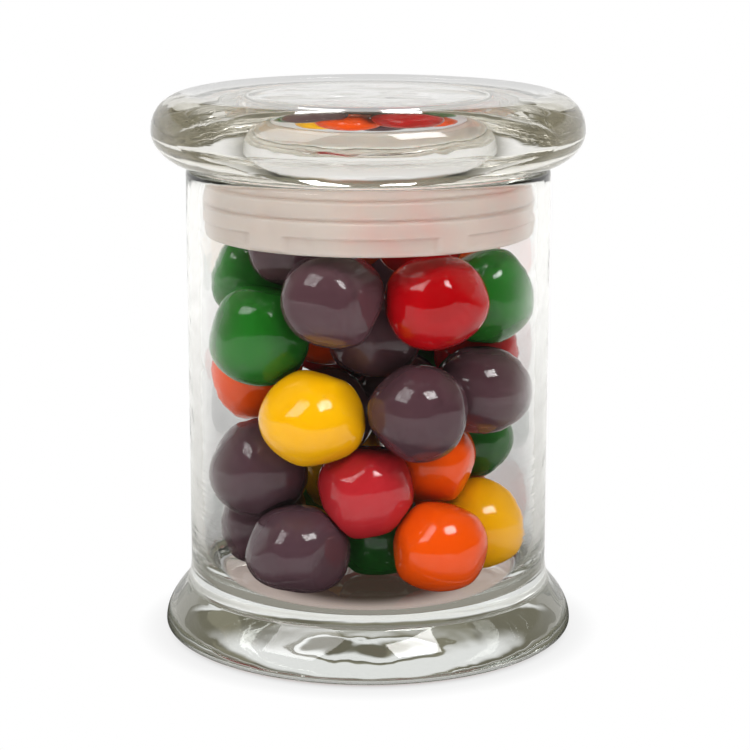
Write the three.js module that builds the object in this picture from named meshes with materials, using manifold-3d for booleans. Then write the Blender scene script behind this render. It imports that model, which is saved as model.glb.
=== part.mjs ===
// A jar of fruit sours: a straight-sided glass jar on a heavy spread foot, filled with
// chewy sweets, and shut by a flat glass lid whose plug carries a milky plastic seal.
// Millimetres, +Z up. The origin is the middle of the ring that the jar stands on,
// and the front, with the sweets placed one by one, faces -Y.

import * as THREE from 'three';
import { mergeVertices } from 'three/addons/utils/BufferGeometryUtils.js';
import Module from 'manifold-3d';

// Driving dimensions

const bodyRadius = 34;
const wall = 2.4;
const boreRadius = bodyRadius - wall;
const rimHeight = 89.2;
const floorHeight = 11;
const floorRadius = 28.4;
const floorCornerTop = 20;

const footRadius = 38.9;
const footEdgeHeight = 2;
const heelRadius = 34.6;
const heelHeight = 9.9;
const heelSwell = 0.15;
const coveHeight = 14;
const standOuter = 35.2;
const standInner = 33.6;
const domeHeight = 1.1;
const domeSteps = 4;

const fitGap = 0.3;

const lidRadius = 40.4;
const lidEdgeHeight = 95.85;
const lidTopRadius = 32.4;
const lidTopHeight = 102.9;
const lidTopFullness = 2.23;
const lidSeatRadius = 32.5;
const lidSeatFullness = 1.81;
const lidSeatHeight = rimHeight + fitGap;
const plugOuter = 27;
const plugInner = 23.7;
const plugDraft = 1.3;
const plugBottom = 81.3;
const lidCeiling = 97.45;
const ceilingCornerReach = 1.6;
const ceilingCornerDrop = 7.35;
const ceilingSteps = 4;

const sealInner = plugOuter + fitGap;
const sealOuter = 30.9;
const sealTop = rimHeight;
const sealBottom = 76.8;
const sealLipRadius = 28.9;
const sealLipBevel = 1.5;
const sealLipHeight = 1;
const sealGrooves = [86.9, 83.4, 80.4];
const grooveDepth = 0.5;
const grooveHalfHeight = 0.5;

const turnSteps = 44;
const roundSteps = 6;

const sweetFloor = floorHeight + fitGap;
const sweetDetail = 2;
// A few-sided ball is swelled by this, so that it looks as large as the round one.
const sweetSwell = 1.012;
// How far round its lower side, in radians, a sweet is tried against the curved wall.
const sweetDips = [0, 0.4, 0.8];
const sweetLean = THREE.MathUtils.degToRad(12);
const goldenTurn = THREE.MathUtils.degToRad(137.5);

// Sweets nearer the axis than plugReach fit up into the plug, and the rest stay below the seal.
const plugReach = 19.6;
const settleRounds = 80;
const pullBack = 0.4;
const leastGive = 0.2;

const coreRadius = 18;
const coreSteps = 20;
const coreBottom = 15;
const coreBevel = 2;
const coreShoulder = 68;
const coreTop = 76;
const coreTopRadius = 6;
const weldReach = 1e-4;

// Each sweet: flavour, middle x, y, z, width, height, and how firmly it keeps its place,
// from 1 for one that shows whole at the front to 0 for one at the back.
const sweets = [
  ['grape', -20.3, 1, 20, 17.8, 17.8, 1],
  ['grape', -13, -18.5, 19.8, 18.9, 17, 1],
  ['apple', 0.8, -4, 19.6, 17.2, 16.8, 0.4],
  ['orange', 13, -18.2, 20.2, 17.8, 18.2, 1],
  ['lemon', 21, -2, 20.2, 17.8, 18, 1],
  ['apple', -14.5, 17.5, 19.8, 17.4, 17.2, 0],
  ['cherry', 1.5, 22.5, 19.8, 17.4, 17.4, 0],
  ['orange', 17, 15, 19.8, 17.4, 17, 0],

  ['grape', -19.9, -10.2, 32.6, 18.2, 18, 1],
  ['lemon', -6, 6, 28.8, 17, 16.8, 0.2],
  ['cherry', -2.6, -16, 31.4, 17.4, 17.2, 1],
  ['orange', 13.6, -3.4, 34.6, 17.6, 17.4, 0.4],
  ['apple', 21, 8, 35.2, 17.8, 17.6, 0.4],
  ['grape', -17, 15.5, 37.5, 17.2, 17, 0],
  ['grape', 0, 22.5, 36.5, 17.4, 17.6, 0],

  ['orange', -21.6, 5, 48.8, 18.2, 18.6, 1],
  ['lemon', -9.9, -19.8, 42.9, 19.2, 17.8, 1],
  ['grape', -7.5, 2, 43.2, 17, 16.8, 0.2],
  ['grape', 9.2, -20.4, 46.7, 18.4, 18.2, 1],
  ['grape', 6, 7.5, 44.5, 17, 17, 0.2],
  ['grape', 23, -8, 48.2, 17.9, 16.8, 1],
  ['cherry', 19.5, 9.5, 52.5, 17, 16.8, 0.2],
  ['cherry', -9, 20.8, 51.5, 17.2, 17.2, 0],
  ['apple', 8, 21.5, 53, 17, 17.2, 0],

  ['apple', -19.6, -10.8, 59.4, 18, 18.8, 1],
  ['grape', 1, -7.5, 59.8, 17.2, 16.8, 0.4],
  ['orange', -7.5, 6, 59.5, 17, 16.8, 0.2],
  ['grape', -6.6, -21.2, 68, 18.6, 17, 1],
  ['cherry', 12.2, -18.9, 66.9, 18.4, 17.2, 1],
  ['apple', 22.2, -3.6, 65, 17.7, 18.5, 1],
  ['apple', -21, 3.6, 68, 17.2, 17.2, 0.4],
  ['lemon', -13, 18.5, 67.8, 17.2, 17, 0],
  ['grape', 4, 22.5, 67.8, 17.2, 17.2, 0],
  ['orange', 19, 12.4, 68, 17.2, 17.2, 0.4],

  ['grape', -13.2, -8.2, 76, 17.4, 17, 1],
  ['cherry', 11, -5.2, 75.4, 17.2, 17, 0.4],
  ['orange', -6, 6.6, 73.5, 16.6, 15.6, 0.2],
];

const glassClear = new THREE.MeshStandardMaterial({
  color: 0xe6e9e4, roughness: 0.02, metalness: 0, transparent: true, opacity: 0.3,
});
const sealMilky = new THREE.MeshStandardMaterial({ color: 0xd8cfc6, roughness: 0.4, metalness: 0 });
const sweetCandy = new THREE.MeshStandardMaterial({ color: 0x6d3a38, roughness: 0.12, metalness: 0 });

// Profiles: points of a half section, x out from the axis and y up

function point(radius, height) {
  return new THREE.Vector2(radius, height);
}

function swollen(share, fullness) {
  return Math.sign(share) * Math.abs(share) ** (2 / fullness);
}

// Part of an ellipse about a centre, from one angle to another in degrees. A fullness
// over 2 squares its shoulder, and one under 2 flattens it.
function arc(radius, height, reachOut, reachUp, from, to, steps = roundSteps, fullness = 2) {
  return Array.from({ length: steps + 1 }, (_, step) => {
    const angle = THREE.MathUtils.degToRad(from + (to - from) * step / steps);
    return point(
      radius + reachOut * swollen(Math.cos(angle), fullness),
      height + reachUp * swollen(Math.sin(angle), fullness),
    );
  });
}

// The foot spreads from the heel to its edge as a quarter sine wave.
function footFlare() {
  return Array.from({ length: roundSteps }, (_, step) => {
    const share = 1 - (step + 1) / roundSteps;
    const radius = heelRadius + (footRadius - heelRadius) * Math.sin(share * Math.PI / 2);
    return point(radius, footEdgeHeight + (heelHeight - footEdgeHeight) * (1 - share));
  });
}

// The underside rises in a shallow dome inside the ring that the jar stands on.
function underDome() {
  return Array.from({ length: domeSteps + 1 }, (_, step) => {
    const share = step / domeSteps;
    return point(standInner * share, domeHeight * (1 - share ** 2));
  });
}

function jarProfile() {
  const rimMiddle = boreRadius + wall / 2;
  const rimRound = wall / 2;
  const cornerReach = boreRadius - floorRadius;
  const cornerRise = floorCornerTop - floorHeight;
  return [
    ...underDome(),
    ...arc(standOuter, footEdgeHeight, footRadius - standOuter, footEdgeHeight, -90, 0),
    ...footFlare(),
    point(bodyRadius + heelSwell, (heelHeight + coveHeight) / 2),
    point(bodyRadius, coveHeight),
    ...arc(rimMiddle, rimHeight - rimRound, rimRound, rimRound, 0, 180),
    ...arc(floorRadius, floorCornerTop, cornerReach, cornerRise, 0, -90),
    point(0, floorHeight),
  ];
}

function lidProfile() {
  const plugMouth = plugInner + plugDraft;
  const plugRound = (plugOuter - plugMouth) / 2;
  const topRise = lidTopHeight - lidEdgeHeight;
  const underRise = lidEdgeHeight - lidSeatHeight;
  const topArc = [lidTopRadius, lidEdgeHeight, lidRadius - lidTopRadius, topRise, 0, 90];
  const seatArc = [lidSeatRadius, lidEdgeHeight, lidRadius - lidSeatRadius, underRise, -90, 0];
  const cornerRadius = plugInner - ceilingCornerReach;
  const cornerHeight = lidCeiling - ceilingCornerDrop;
  return [
    point(0, lidCeiling),
    ...arc(cornerRadius, cornerHeight, ceilingCornerReach, ceilingCornerDrop, 90, 0, ceilingSteps),
    ...arc(plugMouth + plugRound, plugBottom + plugRound, plugRound, plugRound, 180, 360),
    point(plugOuter, lidSeatHeight),
    ...arc(...seatArc, roundSteps, lidSeatFullness),
    ...arc(...topArc, roundSteps, lidTopFullness).slice(1),
    point(0, lidTopHeight),
  ];
}

function sealProfile() {
  const grooves = [...sealGrooves].reverse().flatMap((height) => [
    point(sealOuter, height - grooveHalfHeight),
    point(sealOuter - grooveDepth, height),
    point(sealOuter, height + grooveHalfHeight),
  ]);
  const outline = [
    point(sealInner, sealBottom),
    point(sealLipRadius, sealBottom),
    point(sealLipRadius + sealLipBevel, sealBottom + sealLipHeight),
    ...grooves,
    point(sealOuter, sealTop),
    point(sealInner, sealTop),
  ];
  return [...outline, outline[0].clone()];
}

// Solids

function turned(profile, steps = turnSteps) {
  const geometry = new THREE.LatheGeometry(profile, steps);
  geometry.rotateX(Math.PI / 2);
  return geometry;
}

// How far out a sweet may reach at a height: the straight wall thickens to meet the floor.
function wallReach(height) {
  const low = (floorCornerTop - height) / (floorCornerTop - floorHeight);
  const bend = THREE.MathUtils.clamp(low, 0, 1);
  return floorRadius + (boreRadius - floorRadius) * Math.sqrt(1 - bend ** 2) - fitGap;
}

// Moves the sweets apart until hardly one sinks into another, and none into the wall,
// the floor or the seal, while those that show are drawn back to their places.
function settled() {
  const places = sweets.map(([, x, y, z]) => new THREE.Vector3(x, y, z));
  const radii = sweets.map(([, , , , width, height]) => (2 * width + height) / 6);
  const holds = sweets.map((sweet) => sweet[6]);
  const gives = holds.map((hold) => 1 + leastGive - hold);
  const spots = places.map((place) => place.clone());
  const push = new THREE.Vector3();
  for (let round = 0; round < settleRounds; round += 1) {
    spots.forEach((spot, index) => spot.lerp(places[index], pullBack * holds[index]));
    for (let first = 0; first < spots.length; first += 1) {
      for (let second = first + 1; second < spots.length; second += 1) {
        push.subVectors(spots[second], spots[first]);
        const lack = radii[first] + radii[second] - push.length();
        if (lack <= 0) continue;
        const share = gives[first] / (gives[first] + gives[second]);
        push.setLength(lack);
        spots[first].addScaledVector(push, -share);
        spots[second].addScaledVector(push, 1 - share);
      }
    }
    spots.forEach((spot, index) => {
      const [, , , , width, height] = sweets[index];
      const out = Math.hypot(spot.x, spot.y);
      const ceiling = out > plugReach ? sealBottom - fitGap : lidCeiling;
      spot.z = Math.max(spot.z, sweetFloor + height / 2);
      spot.z = Math.min(spot.z, ceiling - height / 2);
      const room = Math.min(...sweetDips.map((dip) => (
        wallReach(spot.z - height / 2 * Math.sin(dip)) - width / 2 * Math.cos(dip)
      )));
      const inward = Math.min(1, room / out);
      spot.x *= inward;
      spot.y *= inward;
    });
  }
  return spots;
}

// One sweet, a few-sided squashed ball that leans a little, flat where it meets the
// wall or the floor.
function sweetBall(spot, width, height, index) {
  const geometry = new THREE.IcosahedronGeometry(1, sweetDetail);
  const leanAxis = new THREE.Vector3(Math.cos(index * goldenTurn), Math.sin(index * goldenTurn), 0);
  geometry.rotateX(index);
  geometry.scale(sweetSwell * width / 2, sweetSwell * width / 2, sweetSwell * height / 2);
  geometry.applyMatrix4(new THREE.Matrix4().makeRotationAxis(leanAxis, sweetLean));
  geometry.translate(spot.x, spot.y, spot.z);
  const corners = geometry.attributes.position;
  for (let corner = 0; corner < corners.count; corner += 1) {
    const x = corners.getX(corner);
    const y = corners.getY(corner);
    const z = Math.max(corners.getZ(corner), sweetFloor);
    const inward = Math.min(1, wallReach(z) / Math.hypot(x, y));
    corners.setXYZ(corner, x * inward, y * inward, z);
  }
  return geometry;
}

const wasm = await Module();
wasm.setup();

function toSolid(geometry) {
  const bare = geometry.clone();
  bare.deleteAttribute('normal');
  bare.deleteAttribute('uv');
  const merged = mergeVertices(bare, weldReach);
  const { array } = merged.index;
  const faces = [];
  for (let start = 0; start < array.length; start += 3) {
    const [a, b, c] = array.slice(start, start + 3);
    if (a !== b && b !== c && c !== a) faces.push(a, b, c);
  }
  return new wasm.Manifold(new wasm.Mesh({
    numProp: 3,
    vertProperties: new Float32Array(merged.attributes.position.array),
    triVerts: new Uint32Array(faces),
  }));
}

function toGeometry(solid) {
  const { vertProperties, triVerts } = solid.getMesh();
  const geometry = new THREE.BufferGeometry();
  geometry.setAttribute('position', new THREE.BufferAttribute(vertProperties, 3));
  geometry.setIndex(new THREE.BufferAttribute(triVerts, 1));
  geometry.computeVertexNormals();
  return geometry;
}

// The heap: the sweets fused to a core that they hide.
function sweetHeap() {
  const core = turned([
    point(0, coreBottom),
    point(coreRadius, coreBottom + coreBevel),
    point(coreRadius, coreShoulder),
    point(coreTopRadius, coreTop),
    point(0, coreTop),
  ], coreSteps);
  const spots = settled();
  const heap = sweets.reduce(
    (solid, [, , , , width, height], index) => (
      solid.add(toSolid(sweetBall(spots[index], width, height, index)))
    ),
    toSolid(core),
  );
  return toGeometry(heap);
}

function part(name, geometry, material) {
  const mesh = new THREE.Mesh(geometry, material);
  mesh.name = name;
  return mesh;
}

const group = new THREE.Group();
group.add(
  part('jar', turned(jarProfile()), glassClear),
  part('lid', turned(lidProfile()), glassClear),
  part('seal', turned(sealProfile()), sealMilky),
  part('sweets', sweetHeap(), sweetCandy),
);

export default group;
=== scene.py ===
# A jar of fruit sours on a white table: the glass, the milky seal and 37 sweets.
# Millimetres in the values below, metres in the scene. The front faces -Y.

import math
from collections import namedtuple
from functools import partial
from itertools import combinations

import bpy
import numpy as np
from mathutils import Matrix, Vector


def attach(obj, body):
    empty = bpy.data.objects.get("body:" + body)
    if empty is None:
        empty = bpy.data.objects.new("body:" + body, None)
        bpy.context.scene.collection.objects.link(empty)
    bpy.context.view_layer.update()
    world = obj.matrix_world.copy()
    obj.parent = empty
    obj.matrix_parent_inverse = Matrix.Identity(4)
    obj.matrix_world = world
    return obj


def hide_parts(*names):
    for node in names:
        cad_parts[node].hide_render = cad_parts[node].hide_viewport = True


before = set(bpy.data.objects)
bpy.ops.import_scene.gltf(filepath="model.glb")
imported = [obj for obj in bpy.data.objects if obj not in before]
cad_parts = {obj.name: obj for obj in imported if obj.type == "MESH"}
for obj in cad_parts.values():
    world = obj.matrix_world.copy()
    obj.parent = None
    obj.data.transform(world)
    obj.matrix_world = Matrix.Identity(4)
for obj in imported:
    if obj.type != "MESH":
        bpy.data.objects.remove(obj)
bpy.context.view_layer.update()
print("frame loaded:", ", ".join(sorted(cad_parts)))

metre = 0.001  # one millimetre in the scene's own unit


class Wire:  # a socket that can stand in a sum
    def __init__(self, finish, socket):
        self.finish = finish
        self.socket = socket

    def maths(self, operation, *terms):
        return self.finish.add("ShaderNodeMath", {"operation": operation}, dict(enumerate(terms)))

    def __add__(self, other):
        return self.maths("ADD", self, other)

    __radd__ = __add__

    def __sub__(self, other):
        return self.maths("SUBTRACT", self, other)

    def __rsub__(self, other):
        return self.maths("SUBTRACT", other, self)

    def __mul__(self, other):
        return self.maths("MULTIPLY", self, other)

    __rmul__ = __mul__

    def __truediv__(self, other):
        return self.maths("DIVIDE", self, other)

    def __rtruediv__(self, other):
        return self.maths("DIVIDE", other, self)

    def __pow__(self, other):
        return self.maths("POWER", self, other)

    def __rpow__(self, other):
        return self.maths("POWER", other, self)

    def larger(self, other):
        return self.maths("MAXIMUM", self, other)

    def smaller(self, other):
        return self.maths("MINIMUM", self, other)

    def size(self):
        return self.maths("ABSOLUTE", self)

    def step(self, low, high):  # 0 below low, 1 above high, smooth between
        return self.finish.add(
            "ShaderNodeMapRange",
            {"interpolation_type": "SMOOTHSTEP"},
            {"Value": self, "From Min": low, "From Max": high},
        )

    def fall(self, low, high):  # 1 below low, 0 above high
        return 1 - self.step(low, high)

    def between(self, rise, fall):  # up over the first pair and down over the second
        return self.step(*rise) * self.fall(*fall)


class Finish:  # the nodes of one material, or of the world
    def __init__(self, owner):
        owner.use_nodes = True
        self.owner = owner
        self.tree = owner.node_tree
        self.tree.nodes.clear()

    def add(self, kind, settings=None, sockets=None, output=0):
        node = self.tree.nodes.new(kind)
        for name, value in (settings or {}).items():
            setattr(node, name, value)
        for key, value in (sockets or {}).items():
            if isinstance(value, Wire):
                self.tree.links.new(value.socket, node.inputs[key])
            else:
                node.inputs[key].default_value = value
        return Wire(self, node.outputs[output]) if node.outputs else None

    def mixColours(self, share, first, second, blend="MIX"):
        first, second = ((*c, 1) if isinstance(c, tuple) else c for c in (first, second))
        return self.add(
            "ShaderNodeMix",
            {"data_type": "RGBA", "blend_type": blend},
            {0: share, 6: first, 7: second},
            2,
        )

    def grey(self, share):  # a number as a colour, white at 1
        return self.mixColours(share, (0, 0, 0), (1, 1, 1))

    def dot(self, vector, direction):
        return self.add(
            "ShaderNodeVectorMath", {"operation": "DOT_PRODUCT"}, {0: vector, 1: tuple(direction)}, 1
        )

    def place(self):  # a point of the surface in metres, the same from every side
        return self.add("ShaderNodeTexCoord", output="Object")

    def noise(self, scale, detail=2.0, roughness=0.5, distortion=0.0, stretch=(1, 1, 1)):
        spot = self.add("ShaderNodeMapping", None, {"Vector": self.place(), "Scale": stretch})
        return self.add(
            "ShaderNodeTexNoise",
            None,
            {
                "Vector": spot,
                "Scale": scale,
                "Detail": detail,
                "Roughness": roughness,
                "Distortion": distortion,
            },
        )

    def bump(self, height, distance, strength=1.0):
        return self.add(
            "ShaderNodeBump", None, {"Strength": strength, "Distance": distance, "Height": height}
        )

    def split(self, vector, axis):
        return self.add("ShaderNodeSeparateXYZ", None, {0: vector}, axis)

    def reach(self):  # how far a point of the surface is from the jar's axis
        across, ahead = (self.split(self.place(), axis) for axis in (0, 1))
        return (across * across + ahead * ahead).larger(1e-9) ** 0.5

    def ray(self, question):
        return self.add("ShaderNodeLightPath", output=question)

    def show(self, shader, world=False, volume=None):
        kind = "ShaderNodeOutputWorld" if world else "ShaderNodeOutputMaterial"
        self.add(kind, None, {"Surface": shader, "Volume": volume} if volume else {"Surface": shader})
        return self.owner


def newFinish(name):
    return Finish(bpy.data.materials.new(name))


def inMetres(*lengths):
    return [length * metre for length in lengths]


def shares(steps, first=0):  # even steps from 0 to 1
    return [step / steps for step in range(first, steps + 1)]


# Part of an ellipse. A fullness over 2 squares its shoulder and one under 2 flattens it.
def arc(radius, height, reachOut, reachUp, start, end, steps, fullness=2):
    points = []
    for share in shares(steps):
        angle = math.radians(start + (end - start) * share)
        outward, upward = swollen(math.cos(angle), fullness), swollen(math.sin(angle), fullness)
        points.append((radius + reachOut * outward, height + reachUp * upward))
    return points


def swollen(share, fullness):
    return math.copysign(abs(share) ** (2 / fullness), share)


def line(first, last, steps):  # the points after the first
    (startX, startY), (endX, endY) = first, last
    return [
        (startX + (endX - startX) * share, startY + (endY - startY) * share)
        for share in shares(steps, 1)
    ]


# Turns a half section about the axis. waver says how far a point moves out, by its angle, radius and
# height, and closed joins the section's two ends.
def turned(name, profile, turns, finish, waver, closed=False):
    points, rings = [], []
    for radius, height in profile:
        if radius < 1e-6:
            rings.append([len(points)])
            points.append((0, 0, height))
            continue
        rings.append(list(range(len(points), len(points) + turns)))
        for turn in range(turns):
            angle = 2 * math.pi * turn / turns
            reach = radius + waver(angle, radius, height)
            points.append((reach * math.sin(angle), -reach * math.cos(angle), height))
    faces = []
    pairs = list(zip(rings, rings[1:]))
    if closed:
        pairs.append((rings[-1], rings[0]))
    for low, high in pairs:
        for turn in range(turns):
            after = (turn + 1) % turns
            if len(low) == 1:
                faces.append((low[0], high[after], high[turn]))
            elif len(high) == 1:
                faces.append((low[turn], low[after], high[0]))
            else:
                faces.append((low[turn], low[after], high[after], high[turn]))
    return makePiece(name, np.array(points) * metre, faces, finish)


def makePiece(name, points, faces, finish):
    mesh = bpy.data.meshes.new(name)
    mesh.from_pydata([tuple(p) for p in points], [], faces)
    mesh.validate()
    mesh.shade_smooth()
    mesh.materials.append(finish)
    piece = bpy.data.objects.new(name, mesh)
    bpy.context.scene.collection.objects.link(piece)
    return piece


def asPart(piece, node):
    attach(piece, "root")
    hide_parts(node)


glass = {
    "tint": (0.995, 0.995, 0.99),
    "index": 1.5,
    "depthDensity": 18,
    "shadow": (0.955, 0.965, 0.955),  # what one face of glass lets through to a shadow
    "waveSize": 90,  # waves of the pressed surface, in turns a metre
    "rippleSize": 460,  # fine level lines left by the mould
    "rippleRise": 4,  # the height over which they set in
    "rippleFall": 14,  # and over which they die out
    "rippleSides": (25, 30),  # how far to each side they start, where the wall turns away
}


# Clear glass. Lamps and soft light reach through it unbent, so the sweets are lit through the wall.
def glassFinish(name, shape):
    finish = newFinish(name)
    waves = finish.noise(glass["waveSize"], 1.5, 0.4, 0.6, stretch=(1, 1, 1.6))
    ripples = finish.noise(glass["rippleSize"], 3, 0.6, stretch=(0.12, 0.12, 1.5))
    sideways, height = (finish.split(finish.place(), axis) for axis in (0, 2))
    low, high = shape["rippled"]
    rise = inMetres(low, low + glass["rippleRise"])
    fall = inMetres(high - glass["rippleFall"], high)
    rippled = height.between(rise, fall) * sideways.size().step(*inMetres(*glass["rippleSides"]))
    waveDepth, rippleDepth = inMetres(shape["waveDepth"], shape["rippleDepth"])
    relief = waves * waveDepth + ripples * rippled * rippleDepth
    body = finish.add(
        "ShaderNodeBsdfPrincipled",
        None,
        {
            "Base Color": (*glass["tint"], 1),
            "Roughness": 0.0,
            "IOR": glass["index"],
            "Transmission Weight": 1.0,
            "Normal": finish.bump(relief, 1.0),
        },
    )
    through = finish.add("ShaderNodeBsdfTransparent", None, {"Color": (*glass["shadow"], 1)})
    unbent = finish.ray("Is Shadow Ray").larger(finish.ray("Is Diffuse Ray"))
    mixed = finish.add("ShaderNodeMixShader", None, {0: unbent, 1: body, 2: through})
    depth = finish.add(
        "ShaderNodeVolumeAbsorption",
        None,
        {"Color": (*shape["tint"], 1), "Density": glass["depthDensity"]},
    )
    return finish.show(mixed, volume=depth)


jar = {
    "bodyRadius": 34,
    "boreRadius": 31.6,
    "rimHeight": 89.2,
    "floorHeight": 11,
    "floorRadius": 28.4,  # where the flat floor starts to curve up
    "cornerTop": 20,  # where the curve meets the straight wall
    "footRadius": 38.9,
    "footEdgeHeight": 2,
    "heelRadius": 34.6,
    "heelHeight": 9.9,
    "coveHeight": 14,
    "standOuter": 35.2,
    "standInner": 33.6,
    "domeHeight": 1.1,
    "roundSteps": 16,
    "turns": 224,
    "swellDepth": 0.035,
    "swells": ((3, 17, 0, 1), (5, -11, 1.3, 0.6)),  # times round, height a radian, shift, share
    "tint": (0.84, 0.855, 0.835),  # the faint grey-green of thick glass
    "waveDepth": 0.08,
    "rippled": (12, 44),
    "rippleDepth": 0.04,
}


def jarProfile():
    body, bore = jar["bodyRadius"], jar["boreRadius"]
    foot, edge = jar["footRadius"], jar["footEdgeHeight"]
    heel, heelTop, coveTop = jar["heelRadius"], jar["heelHeight"], jar["coveHeight"]
    floorIn, floorUp, floor = jar["floorRadius"], jar["cornerTop"], jar["floorHeight"]
    rimRound = (body - bore) / 2
    rimLow = jar["rimHeight"] - rimRound
    roundSteps = jar["roundSteps"]
    dome = [(jar["standInner"] * share, jar["domeHeight"] * (1 - share**2)) for share in shares(20)]
    flare = [
        (heel + (foot - heel) * math.cos(share * math.pi / 2), edge + (heelTop - edge) * share)
        for share in shares(24, 1)
    ]
    cove = [
        (body + (heel - body) * (1 - share) ** 2, heelTop + (coveTop - heelTop) * share)
        for share in shares(8, 1)
    ]
    return [
        *dome,
        *arc(jar["standOuter"], edge, foot - jar["standOuter"], edge, -90, 0, roundSteps),
        *flare,
        *cove,
        *line((body, coveTop), (body, rimLow), 30),
        *arc(bore + rimRound, rimLow, rimRound, rimRound, 0, 180, roundSteps)[1:],
        *line((bore, rimLow), (bore, floorUp), 24),
        *arc(floorIn, floorUp, bore - floorIn, floorUp - floor, 0, -90, 2 * roundSteps)[1:],
        *line((floorIn, floor), (2, floor), 10),
        (0, floor),
    ]


# Slow swells of the glass, which die away from a full radius towards the axis.
def swell(shape, full, fade, angle, radius, height):
    slow = sum(
        share * math.sin(times * angle + height / rise + shift)
        for times, rise, shift, share in shape["swells"]
    )
    return shape["swellDepth"] * slow * min(1, radius / full) ** fade


lid = {
    "radius": 40.4,
    "edgeHeight": 95.85,
    "topRadius": 32.4,
    "topHeight": 102.9,
    "topFullness": 2.23,
    "seatRadius": 32.5,
    "seatFullness": 1.81,
    "seatHeight": 89.5,
    "plugOuter": 27,
    "plugInner": 23.7,
    "plugDraft": 1.3,  # the hollow widens downward
    "plugBottom": 81.3,
    "ceiling": 97.45,
    "cornerReach": 1.6,
    "cornerDrop": 7.35,
    # The fillet between plug and seat, as steps out from the one and up from the other.
    "fillet": ((0, -0.8), (0.15, -0.35), (0.45, -0.08), (0.9, 0)),
    "turns": 240,
    "swellDepth": 0.05,
    "swells": ((4, 6, 0.7, 1), (7, -4, 0, 0.7)),
    "tint": (0.90, 0.885, 0.835),
    "waveDepth": 0.128,
    "rippled": (88, 112),
    "rippleDepth": 0.03,
}


def lidProfile():
    plugMouth = lid["plugInner"] + lid["plugDraft"]
    plugRound = (lid["plugOuter"] - plugMouth) / 2
    reach, drop = lid["cornerReach"], lid["cornerDrop"]
    cornerRadius, cornerHeight = lid["plugInner"] - reach, lid["ceiling"] - drop
    plugLow = lid["plugBottom"] + plugRound
    fillet = [(lid["plugOuter"] + out, lid["seatHeight"] + up) for out, up in lid["fillet"]]
    seatIn, topIn, edge = lid["seatRadius"], lid["topRadius"], lid["edgeHeight"]
    below = (lid["radius"] - seatIn, edge - lid["seatHeight"])
    above = (lid["radius"] - topIn, lid["topHeight"] - edge)
    return [
        (0, lid["ceiling"]),
        *line((1, lid["ceiling"]), (cornerRadius, lid["ceiling"]), 8),
        *arc(cornerRadius, cornerHeight, reach, drop, 90, 0, 16)[1:],
        *line((lid["plugInner"], cornerHeight), (plugMouth, plugLow), 6),
        *arc(plugMouth + plugRound, plugLow, plugRound, plugRound, 180, 360, 20)[1:],
        *line((lid["plugOuter"], plugLow), fillet[0], 6),
        *fillet[1:],
        *arc(seatIn, edge, *below, -90, 0, 28, lid["seatFullness"]),
        *arc(topIn, edge, *above, 0, 90, 28, lid["topFullness"])[1:],
        *line((topIn, lid["topHeight"]), (2, lid["topHeight"]), 12),
        (0, lid["topHeight"]),
    ]


jarSwell = partial(swell, jar, jar["standInner"], 1)
lidSwell = partial(swell, lid, lid["plugOuter"], 2)
jarBody = turned("jarBody", jarProfile(), jar["turns"], glassFinish("jarGlass", jar), jarSwell)
lidBody = turned("lidBody", lidProfile(), lid["turns"], glassFinish("lidGlass", lid), lidSwell)
asPart(jarBody, "jar")
asPart(lidBody, "lid")
print("glass turned")


seal = {
    "inner": 27.3,
    "outer": 30.9,
    "top": 89.2,
    "bottom": 76.8,
    "lipRadius": 28.9,
    "lipRound": 1.4,
    "topEdge": ((0, -0.3), (-0.1, -0.08), (-0.3, 0)),  # steps out and up from its outer top corner
    "grooves": (83.4, 86.9),
    "grooveDepth": 0.45,
    "grooveHalf": 0.45,
    "shelfHeight": 80.4,  # below it the band is set back between the tabs
    "shelfRows": (-0.25, 0.15),  # rows of the mesh beside the shelf's edge
    "shelfDepth": 0.5,
    "shelfEdge": 0.35,
    "bottomEdge": (0.2, 1.1),
    "panels": ((-28.8, 24), (33.5, 76), (88, 139), (151, 199), (212, 258), (270, 318)),
    "panelEdge": 1.3,
    "colour": (0.69, 0.59, 0.555),
    "cloudSize": 140,
    "cloudTone": 1.08,  # how much lighter it is in the clouds
    "paintedRedLight": (0.74, 0.33, 0.30),  # painted red light, where a red sweet would show through from behind
    "paintedRedLightShare": 0.6,
    "paintedRedLightSpots": ((6, -30.5, 81), (25, -18, 87)),
    "paintedRedLightReach": 15,
    "inside": (0.93, 0.90, 0.86),  # its bore, painted lighter to stand in for the light that shows it bright through the lid
    "insideEdge": (28.0, 29.2),
    "grainSize": 900,
    "grainDepth": 0.03,
    "roughness": 0.34,
    "cloudRoughness": 0.12,
    "turns": 288,
}


def sealProfile():
    inner, outer, lip = seal["inner"], seal["outer"], seal["lipRadius"]
    low, top, half = seal["bottom"], seal["top"], seal["grooveHalf"]
    topEdge = [(outer + out, top + up) for out, up in seal["topEdge"]]
    shelfLow, shelfHigh = (seal["shelfHeight"] + row for row in seal["shelfRows"])
    outline = [(inner, low), *line((inner, low), (lip, low), 4)]
    outline += arc(lip, low + seal["lipRound"], outer - lip, seal["lipRound"], -80, 0, 10)
    outline += line(outline[-1], (outer, shelfLow), 8)
    outline += line(outline[-1], (outer, shelfHigh), 4)
    for middle in seal["grooves"]:
        outline += line(outline[-1], (outer, middle - half), 6)
        for share in shares(8, 1):
            dip = seal["grooveDepth"] * math.sin(math.pi * share)
            outline.append((outer - dip, middle - half + 2 * half * share))
    outline += line(outline[-1], topEdge[0], 4)
    outline += topEdge[1:]
    outline += line(outline[-1], (inner, top), 5)
    outline += line(outline[-1], (inner, low), 10)[:-1]
    return outline


def smooth(value, low, high):
    share = min(1, max(0, (value - low) / (high - low)))
    return share * share * (3 - 2 * share)


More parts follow.
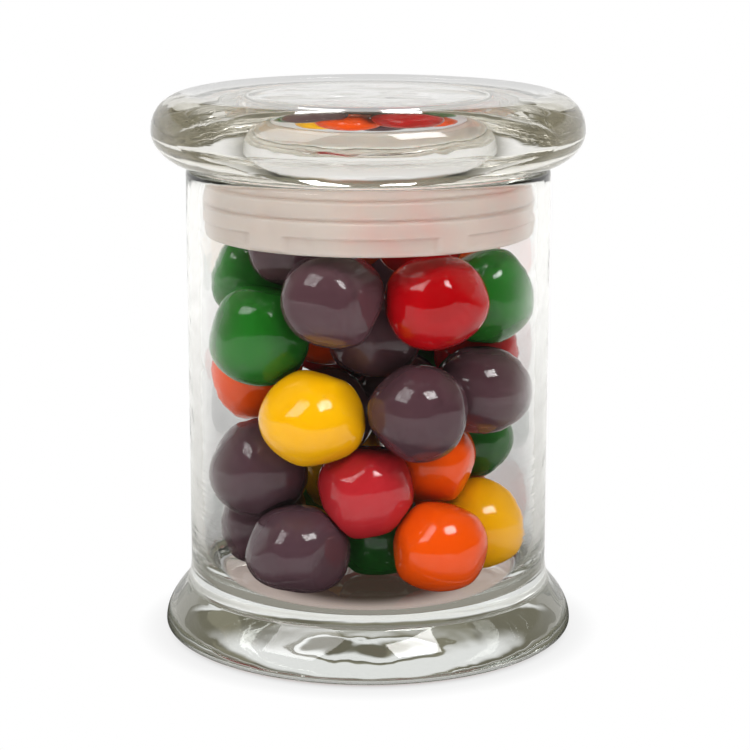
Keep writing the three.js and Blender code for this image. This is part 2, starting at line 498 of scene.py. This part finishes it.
# Sets the lowest band back between its tabs.
def sealWaver(angle, radius, height):
    shelf, low, edge = seal["shelfHeight"], seal["bottom"], seal["panelEdge"]
    if radius < seal["lipRadius"] or height > shelf:
        return 0
    degrees = (math.degrees(angle) + 30) % 360 - 30  # the first panel starts before 0
    inside = max(
        smooth(degrees, start, start + edge) - smooth(degrees, end - edge, end)
        for start, end in seal["panels"]
    )
    below = 1 - smooth(height, shelf - seal["shelfEdge"], shelf)
    above = smooth(height, *(low + rise for rise in seal["bottomEdge"]))
    return -seal["shelfDepth"] * inside * below * above


def sealFinish():
    finish = newFinish("sealMilky")
    clouds = finish.noise(seal["cloudSize"], 3, 0.6, 0.4)
    grain = finish.noise(seal["grainSize"], 2, 0.5)
    lighter = tuple(tone * seal["cloudTone"] for tone in seal["colour"])
    colour = finish.mixColours(clouds.step(0.3, 0.7), seal["colour"], lighter)
    # Painted red light: red patches at fixed spots, where red sweets behind would show through the milky
    # seal
    for spot in seal["paintedRedLightSpots"]:
        away = finish.add(
            "ShaderNodeVectorMath",
            {"operation": "DISTANCE"},
            {0: finish.place(), 1: inMetres(*spot)},
            1,
        )
        near = away.fall(*inMetres(0, seal["paintedRedLightReach"]))
        redLightShare = near * clouds.step(0.2, 0.8) * seal["paintedRedLightShare"]
        colour = finish.mixColours(redLightShare, colour, seal["paintedRedLight"])
    # The bore takes the painted lighter colour, standing in for the light that reaches it through the lid
    outside = finish.reach().step(*inMetres(*seal["insideEdge"]))
    body = finish.add(
        "ShaderNodeBsdfPrincipled",
        {"subsurface_method": "RANDOM_WALK"},
        {
            "Base Color": finish.mixColours(outside, seal["inside"], colour),
            "Roughness": seal["roughness"] + clouds * seal["cloudRoughness"],
            "IOR": 1.42,
            "Subsurface Weight": 0.8,
            "Subsurface Radius": (1.0, 0.9, 0.8),
            "Subsurface Scale": 0.005,
            "Transmission Weight": 0.35,
            "Normal": finish.bump(grain, seal["grainDepth"] * metre, 0.6),
        },
    )
    return finish.show(body)


sealRing = turned("sealRing", sealProfile(), seal["turns"], sealFinish(), sealWaver, True)
asPart(sealRing, "seal")
print("seal turned")


heap = {
    "gap": 0.3,  # between a sweet and the glass
    "sealFloor": 76.5,
    "plugReach": 19.6,
    "rounds": 80,
    "pullBack": 0.4,
    "leastGive": 0.2,
    "wallDips": (0, 0.4, 0.8),  # how far below its middle, in radians, a sweet is kept off the wall
    "lean": 12,
    "turn": 137.5,
    "fineness": 26,
    "fullness": (2.0, 2.35),  # 2 is round, more is squarer
    "facets": 6,
    "facetReach": (0.93, 0.985),
    "facetRound": 1.8,
    "swells": 7,  # slow swells and dips
    "swellDepth": 0.055,
    "swellTurns": (2.5, 6),
    "swellShift": (0, 6.28),
    "pressedFrom": 0.6,  # two sweets this close are flat where they face each other
    "pressedGap": 0.04,
    "pressedRound": 0.55,
    "wallRound": 0.5,
    "floorRound": 0.4,
    "seed": 5,
}

Sweet = namedtuple("Sweet", "flavour x y z width height firmness")

# Flavour, middle x, y, z, width, height, and how firmly it keeps its place.
sweetRows = [
    ("grape", -20.3, 1, 20, 17.8, 17.8, 1),
    ("grape", -13, -18.5, 19.8, 18.9, 17, 1),
    ("apple", 0.8, -4, 19.6, 17.2, 16.8, 0.4),
    ("orange", 13, -18.2, 20.2, 17.8, 18.2, 1),
    ("lemon", 21, -2, 20.2, 17.8, 18, 1),
    ("apple", -14.5, 17.5, 19.8, 17.4, 17.2, 0),
    ("cherry", 1.5, 22.5, 19.8, 17.4, 17.4, 0),
    ("orange", 17, 15, 19.8, 17.4, 17, 0),
    ("grape", -19.9, -10.2, 32.6, 18.2, 18, 1),
    ("lemon", -6, 6, 28.8, 17, 16.8, 0.2),
    ("cherry", -2.6, -16, 31.4, 17.4, 17.2, 1),
    ("orange", 13.6, -3.4, 34.6, 17.6, 17.4, 0.4),
    ("apple", 21, 8, 35.2, 17.8, 17.6, 0.4),
    ("grape", -17, 15.5, 37.5, 17.2, 17, 0),
    ("grape", 0, 22.5, 36.5, 17.4, 17.6, 0),
    ("orange", -21.6, 5, 48.8, 18.2, 18.6, 1),
    ("lemon", -9.9, -19.8, 42.9, 19.2, 17.8, 1),
    ("grape", -7.5, 2, 43.2, 17, 16.8, 0.2),
    ("grape", 9.2, -20.4, 46.7, 18.4, 18.2, 1),
    ("grape", 6, 7.5, 44.5, 17, 17, 0.2),
    ("grape", 23, -8, 48.2, 17.9, 16.8, 1),
    ("cherry", 19.5, 9.5, 52.5, 17, 16.8, 0.2),
    ("cherry", -9, 20.8, 51.5, 17.2, 17.2, 0),
    ("apple", 8, 21.5, 53, 17, 17.2, 0),
    ("apple", -19.6, -10.8, 59.4, 18, 18.8, 1),
    ("grape", 1, -7.5, 59.8, 17.2, 16.8, 0.4),
    ("orange", -7.5, 6, 59.5, 17, 16.8, 0.2),
    ("grape", -6.6, -21.2, 68, 18.6, 17, 1),
    ("cherry", 12.2, -18.9, 66.9, 18.4, 17.2, 1),
    ("apple", 22.2, -3.6, 65, 17.7, 18.5, 1),
    ("apple", -21, 3.6, 68, 17.2, 17.2, 0.4),
    ("lemon", -13, 18.5, 67.8, 17.2, 17, 0),
    ("grape", 4, 22.5, 67.8, 17.2, 17.2, 0),
    ("orange", 19, 12.4, 68, 17.2, 17.2, 0.4),
    ("grape", -13.2, -8.2, 76, 17.4, 17, 1),
    ("cherry", 11, -5.2, 75.4, 17.2, 17, 0.4),
    ("orange", -6, 6.6, 73.5, 16.6, 15.6, 0.2),
]
sweets = [Sweet(*row) for row in sweetRows]


def meanRadius(sweet):
    return (2 * sweet.width + sweet.height) / 6


# How far out a sweet may reach at a height, given as one number or an array.
def wallReach(height):
    low = np.clip((jar["cornerTop"] - height) / (jar["cornerTop"] - jar["floorHeight"]), 0, 1)
    flat, bore = jar["floorRadius"], jar["boreRadius"]
    return flat + (bore - flat) * np.sqrt(1 - low**2) - heap["gap"]


# Moves a sweet off the floor, the wall, the seal and the lid.
def keepInside(spot, sweet):
    halfWidth, halfHeight = sweet.width / 2, sweet.height / 2
    out = math.hypot(spot.x, spot.y)
    ceiling = heap["sealFloor"] if out > heap["plugReach"] else lid["ceiling"]
    floor = jar["floorHeight"] + heap["gap"]
    spot.z = min(max(spot.z, floor + halfHeight), ceiling - halfHeight)
    room = min(
        wallReach(spot.z - halfHeight * math.sin(dip)) - halfWidth * math.cos(dip)
        for dip in heap["wallDips"]
    )
    spot.x *= min(1, room / out)
    spot.y *= min(1, room / out)


# Moves the sweets apart until they only touch, while those that show are drawn back to their places.
def settled():
    places = [Vector((sweet.x, sweet.y, sweet.z)) for sweet in sweets]
    gives = [1 + heap["leastGive"] - sweet.firmness for sweet in sweets]
    spots = places
    for _ in range(heap["rounds"]):
        spots = [
            spot.lerp(place, heap["pullBack"] * sweet.firmness)
            for spot, place, sweet in zip(spots, places, sweets)
        ]
        for first, second in combinations(range(len(sweets)), 2):
            push = spots[second] - spots[first]
            lack = meanRadius(sweets[first]) + meanRadius(sweets[second]) - push.length
            if lack <= 0:
                continue
            share = gives[first] / (gives[first] + gives[second])
            push = push.normalized() * lack
            spots[first] -= push * share
            spots[second] += push * (1 - share)
        for spot, sweet in zip(spots, sweets):
            keepInside(spot, sweet)
    return spots


# Directions over a ball, as six faces of a cube blown up round, with their quads.
def ballNet(fineness):
    grid = np.tan(np.linspace(-1, 1, fineness + 1) * math.pi / 4)
    found, points, quads = {}, [], []

    def corner(point):
        key = tuple(np.round(point, 6))
        if key not in found:
            found[key] = len(points)
            points.append(point / np.linalg.norm(point))
        return found[key]

    for axis in range(3):
        for side in (-1, 1):
            for i in range(fineness):
                for j in range(fineness):
                    ring = []
                    for u, v in ((i, j), (i + 1, j), (i + 1, j + 1), (i, j + 1)):
                        point = np.zeros(3)
                        point[axis] = side
                        point[(axis + 1) % 3] = grid[u]
                        point[(axis + 2) % 3] = grid[v]
                        ring.append(corner(point))
                    quads.append(ring if side > 0 else ring[::-1])
    return np.array(points), np.array(quads)


def softSmaller(first, second, reach):  # the smaller of two, with a rounded turn between them
    share = np.clip(0.5 + 0.5 * (second - first) / reach, 0, 1)
    return second * (1 - share) + first * share - reach * share * (1 - share)


def cutByPlane(reach, directions, normal, distance, rounding):
    along = directions @ normal
    limit = np.where(along > 0.02, distance / np.maximum(along, 0.02), 1e3)
    return softSmaller(reach, limit, rounding)


def randomDirection(draw):
    direction = draw.normal(size=3)
    return direction / np.linalg.norm(direction)


def squashedBall(index, net, draw):
    sweet = sweets[index]
    turn = math.radians(index * heap["turn"])
    leanAxis = Vector((math.cos(turn), math.sin(turn), 0))
    lean = np.array(Matrix.Rotation(math.radians(heap["lean"]), 3, leanAxis))
    local = np.abs((net @ lean) / (np.array((sweet.width, sweet.width, sweet.height)) / 2))
    fullness = draw.uniform(*heap["fullness"])
    return (local**fullness).sum(axis=1) ** (-1 / fullness)


def dented(reach, net, middle, draw):
    for _ in range(heap["facets"]):
        facing = randomDirection(draw)
        distance = middle * draw.uniform(*heap["facetReach"])
        reach = cutByPlane(reach, net, facing, distance, heap["facetRound"])
    for _ in range(heap["swells"]):
        wave = net @ randomDirection(draw) * draw.uniform(*heap["swellTurns"])
        reach = reach + heap["swellDepth"] * np.cos(wave + draw.uniform(*heap["swellShift"]))
    return reach


# Flattens a sweet where another one touches it.
def pressed(reach, net, index, spots):
    here, middle = np.array(spots[index]), meanRadius(sweets[index])
    for other, spot in enumerate(spots):
        if other == index:
            continue
        gap = np.array(spot) - here
        apart = np.linalg.norm(gap)
        otherMiddle = meanRadius(sweets[other])
        if apart < middle + otherMiddle + heap["pressedFrom"]:
            flat = (apart**2 + middle**2 - otherMiddle**2) / (2 * apart) - heap["pressedGap"]
            reach = cutByPlane(reach, net, gap / apart, flat, heap["pressedRound"])
    return reach


# One sweet: a squashed ball with soft facets, pressed flat where it meets the others or the glass.
def sweetPoints(index, spots, net, draw):
    reach = dented(squashedBall(index, net, draw), net, meanRadius(sweets[index]), draw)
    points = np.array(spots[index]) + net * pressed(reach, net, index, spots)[:, None]
    out = np.hypot(points[:, 0], points[:, 1])
    kept = softSmaller(out, wallReach(points[:, 2]), heap["wallRound"])
    points[:, :2] *= (kept / out)[:, None]
    floor = jar["floorHeight"] + heap["gap"]
    points[:, 2] = -softSmaller(-points[:, 2], np.full_like(out, -floor), heap["floorRound"])
    return points


flavours = {
    "grape": {"body": (0.080, 0.038, 0.048), "deep": (0.066, 0.029, 0.038), "low": (0.066, 0.034, 0.045)},
    "apple": {"body": (0.014, 0.140, 0.014), "deep": (0.009, 0.110, 0.008), "low": (0.010, 0.062, 0.010)},
    "orange": {"body": (0.760, 0.070, 0.000), "deep": (0.690, 0.052, 0.000), "low": (0.700, 0.066, 0.001)},
    "cherry": {"body": (0.390, 0.000, 0.003), "deep": (0.320, 0.000, 0.002), "low": (0.420, 0.020, 0.028)},
    "lemon": {"body": (0.840, 0.425, 0.000), "deep": (0.800, 0.385, 0.000), "low": (0.760, 0.350, 0.001)},
}

glaze = {
    "roughness": 0.05,
    "index": 1.5,
    "patchSize": 70,  # clouds of lighter and darker colour, in turns a metre
    "patchEdge": (0.35, 0.6),
    "mottleSize": 420,
    "mottleShare": 0.3,
    "mottleRoughness": 0.05,
    "peelSize": 640,
    "peelDepth": 0.026,
    "lowFade": (30, 60),  # heights between which the low tone gives way
}


def sweetFinish(name, tones):
    finish = newFinish(name)
    clouds = finish.noise(glaze["patchSize"], 2.5, 0.55, 0.8)
    mottle = finish.noise(glaze["mottleSize"], 3, 0.6)
    peel = finish.noise(glaze["peelSize"], 2, 0.5)
    colour = finish.mixColours(clouds.step(*glaze["patchEdge"]), tones["deep"], tones["body"])
    low = finish.split(finish.place(), 2).fall(*inMetres(*glaze["lowFade"]))
    low = low * (1 - glaze["mottleShare"] + mottle * glaze["mottleShare"])
    body = finish.add(
        "ShaderNodeBsdfPrincipled",
        None,
        {
            "Base Color": finish.mixColours(low, colour, tones["low"]),
            "Roughness": glaze["roughness"] + mottle * glaze["mottleRoughness"],
            "IOR": glaze["index"],
            "Normal": finish.bump(peel, glaze["peelDepth"] * metre),
        },
    )
    return finish.show(body)


def makeSweets():
    spots = settled()
    net, quads = ballNet(heap["fineness"])
    draw = np.random.default_rng(heap["seed"])
    shapes = [sweetPoints(index, spots, net, draw) for index in range(len(sweets))]
    for flavour, tones in flavours.items():
        own = [shape for shape, sweet in zip(shapes, sweets) if sweet.flavour == flavour]
        points = np.concatenate(own) * metre
        faces = np.concatenate([quads + len(net) * place for place in range(len(own))]).tolist()
        name = flavour + "Sweets"
        piece = makePiece(name, points, faces, sweetFinish(name, tones))
        asPart(piece, "sweets")


makeSweets()
print("sweets piled:", len(sweets))


def straight(finish):  # neither mirrored nor scattered on the way
    return 1 - (finish.ray("Diffuse Depth") + finish.ray("Glossy Depth")).smaller(1)


def inGlass(finish):  # through one or two faces of glass
    return finish.ray("Transmission Depth").between((0, 1), (2, 3))


def inThickGlass(finish):  # and mirrored there as well
    return inGlass(finish) * finish.ray("Glossy Depth").step(0, 1)


def guided(finish):  # sent on by a matt surface, and mirrored three times or more
    return finish.ray("Glossy Depth").step(2, 3) * finish.ray("Diffuse Depth").smaller(1)


def cosines(angles):
    return [math.cos(math.radians(angle)) for angle in angles]


def sines(angles):
    return [math.sin(math.radians(angle)) for angle in angles]


table = {
    "front": -700,
    "back": 4000,
    "side": 3000,
    "tone": 0.5,
    "unlitTone": (0.01, 0.01, 0.01),
    "glow": 0.38,  # its own light, where the glass or the sweets mirror it
    "fill": 0.5,  # and how much more of it matt surfaces see
    "mirroredSides": (85.72, 54.93),  # degrees from +Y between which the glass comes to mirror it
    "mirroredFrom": (0, 20),  # out from the foot's edge
    "inGlass": (0.30, 0.29, 0.25),  # the rest of it, where light is mirrored inside thick glass
    "inGlassSides": (107.46, 78.46),
    "inGlassTo": (0, 10),  # out from the foot's edge, where that goes all round
    "frontShare": 0.15,  # how much of that there is on the camera's side
    "near": (30, 420),  # from the axis, where painted shade makes it dimmer through glass
    "nearShade": (0.5, 0.68),  # by how much, straight and where light is mirrored inside the glass
    "paintedContactShade": (0.42, 0.88, 1.02),  # painted contact shade: how white it is at the foot, just beside it and clear of it
    "paintedContactShadeEdges": ((-5, 0.5), (-1, 8)),  # out from the foot's edge
    "paintedShadowUnderJar": (0.06, 0.038, 0.03),  # painted shadow under the jar, seen down through the floor, dim and warm
    "paintedShadowEdge": (0.55, 0.45, 0.41),
    "paintedShadowFade": (13.5, 22.5),
    "paintedShadowTo": (-4, -1),  # out from the foot's edge
}


# Seen straight or through the glass, the table is white but for a painted contact shade that hugs the
# foot, a painted dark shadow under the jar and painted dimming near the jar through glass. The glass
# mirrors only the part behind the jar, and the sweets, whose rays pass the wall twice, mirror all of it.
# The rest of it is dark to them, but for a dim tone where light is mirrored inside thick glass.
def tableFinish():
    finish = newFinish("tableWhite")
    reach = finish.reach()
    aft = finish.split(finish.place(), 1) / reach  # 1 right behind the jar and -1 in front of it
    matt = finish.ray("Is Diffuse Ray")
    thick = inThickGlass(finish)

    def pastFoot(edges):
        return reach.step(*inMetres(*(jar["footRadius"] + edge for edge in edges)))

    near = reach.fall(*inMetres(*table["near"]))
    bySweets = finish.ray("Transmission Depth").step(3, 4) * finish.ray("Glossy Depth").smaller(1)
    lit = aft.step(*cosines(table["mirroredSides"])).larger(bySweets).larger(matt)
    # Painted shade near the jar, where light is mirrored inside thick glass
    lit = pastFoot(table["mirroredFrom"]) * lit * (1 - thick * near * table["nearShade"][1])
    shown = aft.step(*cosines(table["inGlassSides"])).larger(1 - pastFoot(table["inGlassTo"]))
    shown = shown.larger(table["frontShare"]) * thick
    dark = finish.mixColours(shown, (0, 0, 0), table["inGlass"])
    glow = finish.mixColours(lit, dark, finish.grey(table["glow"] + matt * table["fill"]))
    body = finish.add(
        "ShaderNodeBsdfPrincipled",
        None,
        {
            "Base Color": finish.mixColours(lit * table["tone"], table["unlitTone"], (1, 1, 1)),
            "Roughness": 0.7,
            "Specular IOR Level": 0.0,
            "Emission Color": finish.mixColours(guided(finish), glow, studio["guided"]),
            "Emission Strength": 1.0,
        },
    )
    # Painted contact shade that hugs the foot
    atFoot, beside, clear = table["paintedContactShade"]
    first, last = table["paintedContactShadeEdges"]
    shade = atFoot + pastFoot(first) * (beside - atFoot) + pastFoot(last) * (clear - beside)
    # Painted shade: dimmer near the jar where seen straight through glass
    through = (1 - near * table["nearShade"][0]) * studio["throughGlass"]
    shade = shade * (through + finish.ray("Is Camera Ray") * (1 - through))
    # Painted shadow: dark and warm under the jar, as seen down through the floor
    paintedShadowFade = reach.step(*inMetres(*table["paintedShadowFade"]))
    under = finish.mixColours(paintedShadowFade, table["paintedShadowUnderJar"], table["paintedShadowEdge"])
    colour = finish.mixColours(pastFoot(table["paintedShadowTo"]), under, finish.grey(shade))
    seen = finish.add("ShaderNodeEmission", None, {"Color": colour})
    mixed = finish.add("ShaderNodeMixShader", None, {0: straight(finish), 1: body, 2: seen})
    return finish.show(mixed)


def makeTable():
    side, front, back = inMetres(table["side"], table["front"], table["back"])
    corners = [(-side, front, 0), (side, front, 0), (side, back, 0), (-side, back, 0)]
    makePiece("table", corners, [(0, 1, 2, 3)], tableFinish())


studio = {
    "camera": (0, -450, 149.8),
    "tilt": 77.38,
    "lens": 116.45,
    "shift": 0.0091,
    "backdrop": 1.0,
    "throughGlass": 0.98,  # the backdrop as the glass shows it
    "mirrored": 0.8,  # and as the glass and the sweets mirror it
    "inThickGlass": 0.98,  # and where light is mirrored inside thick glass
    "guided": (0.50, 0.48, 0.43),  # all that matt surfaces see by way of many mirrorings
    # Edges in degrees from +Y, or up.
    "backdropSides": (86.92, 41.08),
    "backdropTop": (15, 20),  # from white to the dim of the room
    "clearTop": (33, 44),  # the same where light goes through the glass unmirrored
    "clearTopRound": (8.05, 15.07),  # and on all sides
    "stripSides": (50, 38),  # a bright strip high in the backdrop, for rays inside the glass
    "stripLow": (26.10, 28.69),
    "stripHigh": (32.68, 35.45),
    "room": (0.27, 0.255, 0.19),
    "roomSides": (113.58, 72.54),
    "roomFront": 0.08,  # how much of it there is on the camera's side
    "frontInGlass": 1.5,  # and how much for rays inside the glass
    "frontClear": 2.2,
    "roomLoss": 0.22,  # how much of it is lost inside thick glass
    "cloudSize": 4.0,
    "cloudEdge": (0.54, 0.62),
    "cloudTones": (0.85, 2.25),
    # Softboxes: direction, half width and half height in degrees, brightness.
    "leftBox": ((-0.54, -0.46, 0.71), 15, 17, 5.0),
    "rightBox": ((0.37, -0.55, 0.75), 12, 9, 14.0),
    "boxEdge": (0.93, 1.03),
    "fillDirection": (-0.1, -0.75, 0.65),  # soft light that only matt surfaces see
    "fill": 0.68,
    # How often light may turn. Thick glass needs many turns.
    "turns": 48,
    "mirrorTurns": 40,
    "glassTurns": 32,
    "mattTurns": 4,
}


def softbox(finish, ray, box):
    direction, halfWidth, halfHeight, strength = box
    ahead = Vector(direction).normalized()
    across = ahead.cross(Vector((0, 0, 1))).normalized()
    upward = across.cross(ahead)
    depth = finish.dot(ray, ahead)
    near = depth.larger(0.01)
    light = depth.step(0, 0.05) * strength
    for axis, half in ((across, halfWidth), (upward, halfHeight)):
        slope = (finish.dot(ray, axis) / near).size() / math.tan(math.radians(half))
        light = light * slope.fall(*studio["boxEdge"])
    return light


def studioLight():
    world = bpy.data.worlds.new("studio")
    bpy.context.scene.world = world
    finish = Finish(world)
    ray = finish.add("ShaderNodeTexCoord", output="Generated")
    sideways, ahead, height = (finish.split(ray, axis) for axis in range(3))
    aft = ahead / (ahead * ahead + sideways * sideways).larger(1e-6) ** 0.5
    seen, clear, thick = finish.ray("Is Camera Ray"), straight(finish), inThickGlass(finish)

    behind = aft.step(*cosines(studio["backdropSides"]))
    white = seen.larger(clear * height.fall(*sines(studio["clearTopRound"])))
    white = white.larger(behind * (1 - clear) * height.fall(*sines(studio["backdropTop"])))
    white = white.larger(behind * clear * height.fall(*sines(studio["clearTop"])))
    strip = height.between(sines(studio["stripLow"]), sines(studio["stripHigh"])) * inGlass(finish)
    white = white.larger(strip * aft.step(*cosines(studio["stripSides"])))
    bright = studio["mirrored"] + clear * (studio["throughGlass"] - studio["mirrored"])
    bright = bright + thick * (studio["inThickGlass"] - studio["mirrored"])
    bright = bright + seen * (studio["backdrop"] - studio["throughGlass"])

    front = (inGlass(finish) * studio["frontInGlass"]).larger(studio["roomFront"])
    front = front.larger(clear * studio["frontClear"])
    around = front + aft.step(*cosines(studio["roomSides"])) * (1 - front)
    cloudSockets = {"Vector": ray, "Scale": studio["cloudSize"], "Detail": 1.0}
    clouds = finish.add("ShaderNodeTexNoise", None, cloudSockets).step(*studio["cloudEdge"])
    dark, light = studio["cloudTones"]
    dim = around * (dark + clouds * (light - dark)) * (1 - thick * studio["roomLoss"])

    boxes = softbox(finish, ray, studio["leftBox"]) + softbox(finish, ray, studio["rightBox"])
    fill = finish.dot(ray, Vector(studio["fillDirection"]).normalized()).larger(0)
    fill = fill * finish.ray("Is Diffuse Ray") * studio["fill"]
    colour = finish.mixColours(dim, (0, 0, 0), studio["room"])
    colour = finish.mixColours(guided(finish), colour, studio["guided"])
    colour = finish.mixColours(white, colour, finish.grey(bright))
    colour = finish.mixColours(1.0, colour, (boxes + fill) * (1 - seen), "ADD")
    finish.show(finish.add("ShaderNodeBackground", None, {"Color": colour}), True)


def makeCamera():
    camera = bpy.data.objects.new("camera", bpy.data.cameras.new("camera"))
    bpy.context.scene.collection.objects.link(camera)
    camera.location = inMetres(*studio["camera"])
    camera.rotation_euler = (math.radians(studio["tilt"]), 0, 0)
    camera.data.lens = studio["lens"]
    camera.data.shift_x = studio["shift"]
    camera.data.clip_start = 0.01
    bpy.context.scene.camera = camera


def makeStudio():
    makeTable()
    studioLight()
    makeCamera()
    scene = bpy.context.scene
    scene.view_settings.view_transform = "Standard"
    scene.view_settings.look = "None"
    cycles = scene.cycles
    cycles.use_denoising = True
    cycles.max_bounces = studio["turns"]
    cycles.glossy_bounces = studio["mirrorTurns"]
    cycles.transmission_bounces = studio["glassTurns"]
    cycles.transparent_max_bounces = studio["glassTurns"]
    cycles.diffuse_bounces = studio["mattTurns"]


makeStudio()
print("studio set")
